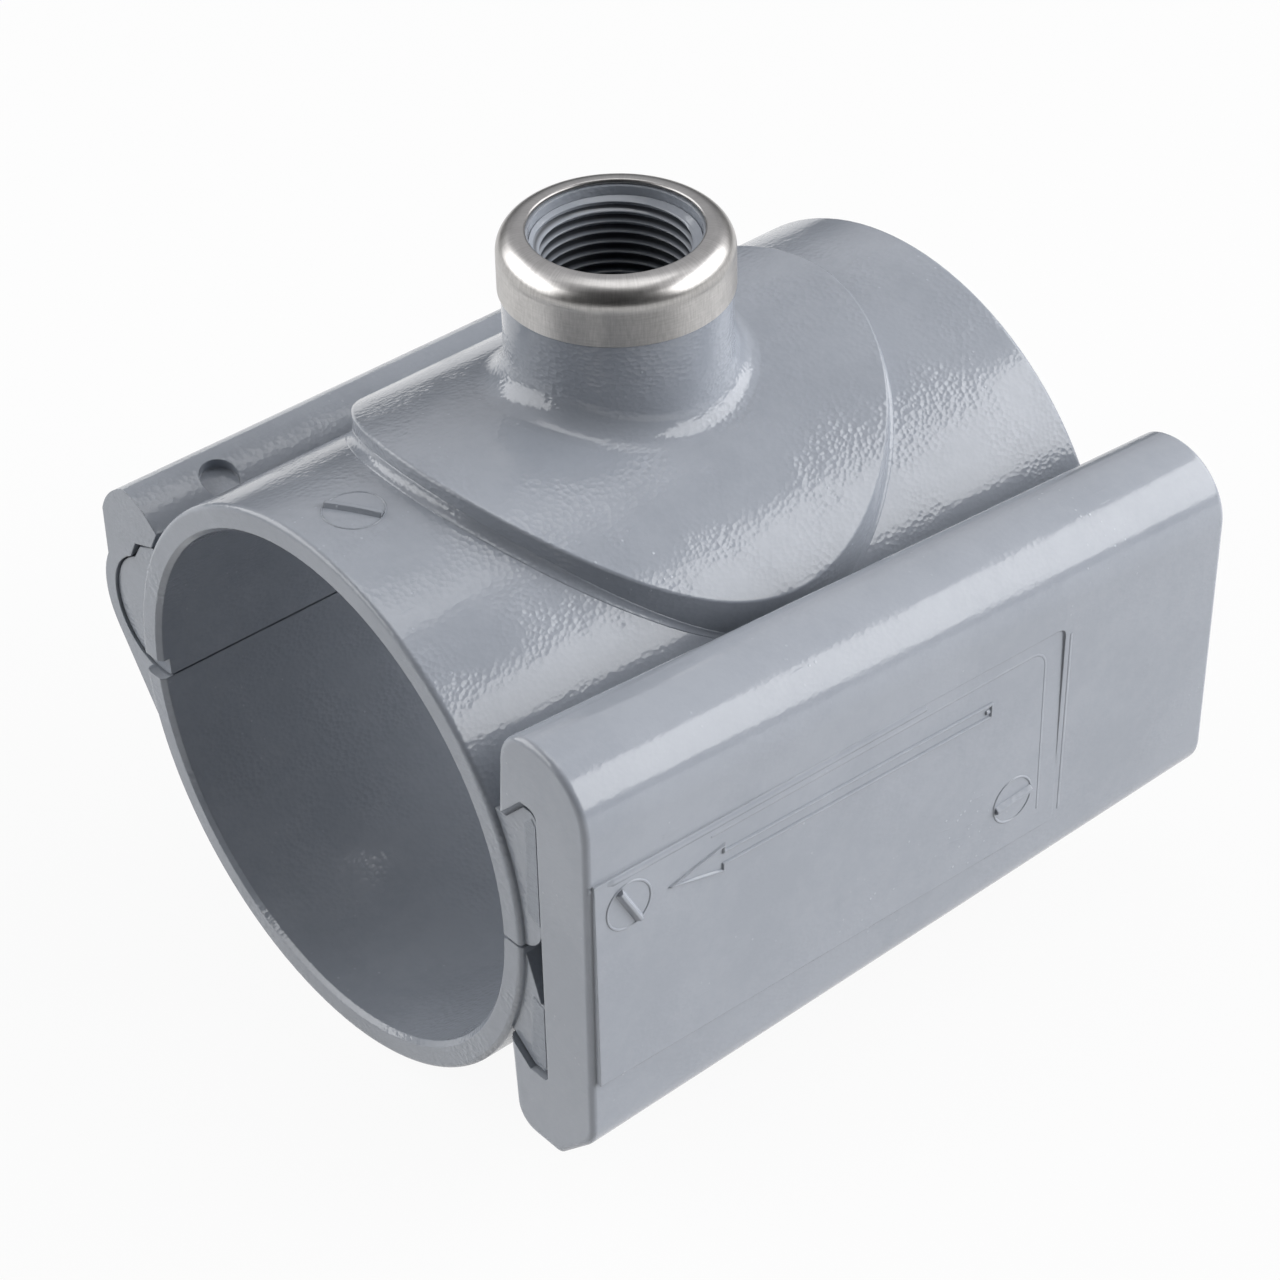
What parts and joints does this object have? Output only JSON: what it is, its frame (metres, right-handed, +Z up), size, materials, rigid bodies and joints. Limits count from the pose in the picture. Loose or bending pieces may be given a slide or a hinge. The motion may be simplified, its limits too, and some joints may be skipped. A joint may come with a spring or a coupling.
{
  "type": "tapping saddle",
  "caption": "Two half shells clamp round a plastic pipe, locked by a tapered sliding wedge, with a threaded outlet neck capped by a steel ring.",
  "frame": {"origin": "on the pipe's axis, below the centre of the outlet", "axes": "+X along the pipe towards the end where the wedge overhangs, +Y towards the rear rail, +Z up through the outlet"},
  "size_m": [0.1338, 0.1283, 0.1272],
  "materials": {
    "saddle_plastic": "glossy moulded blue-grey",
    "wedge_plastic": "glossy moulded blue-grey",
    "ring_steel": "polished top, brushed skirt",
    "seal_rubber": "matt black"
  },
  "bodies": {
    "saddle": {"upper_saddle": "saddle_plastic", "lower_saddle": "saddle_plastic", "outlet_ring": "ring_steel", "seal_ring": "seal_rubber"},
    "wedge": {"locking_wedge": "wedge_plastic"}
  },
  "joints": [
    {"name": "wedge_slide", "type": "slide", "parent": "saddle", "child": "wedge", "axis": [1, 0, 0], "range_m": [0, 0.128]}
  ]
}
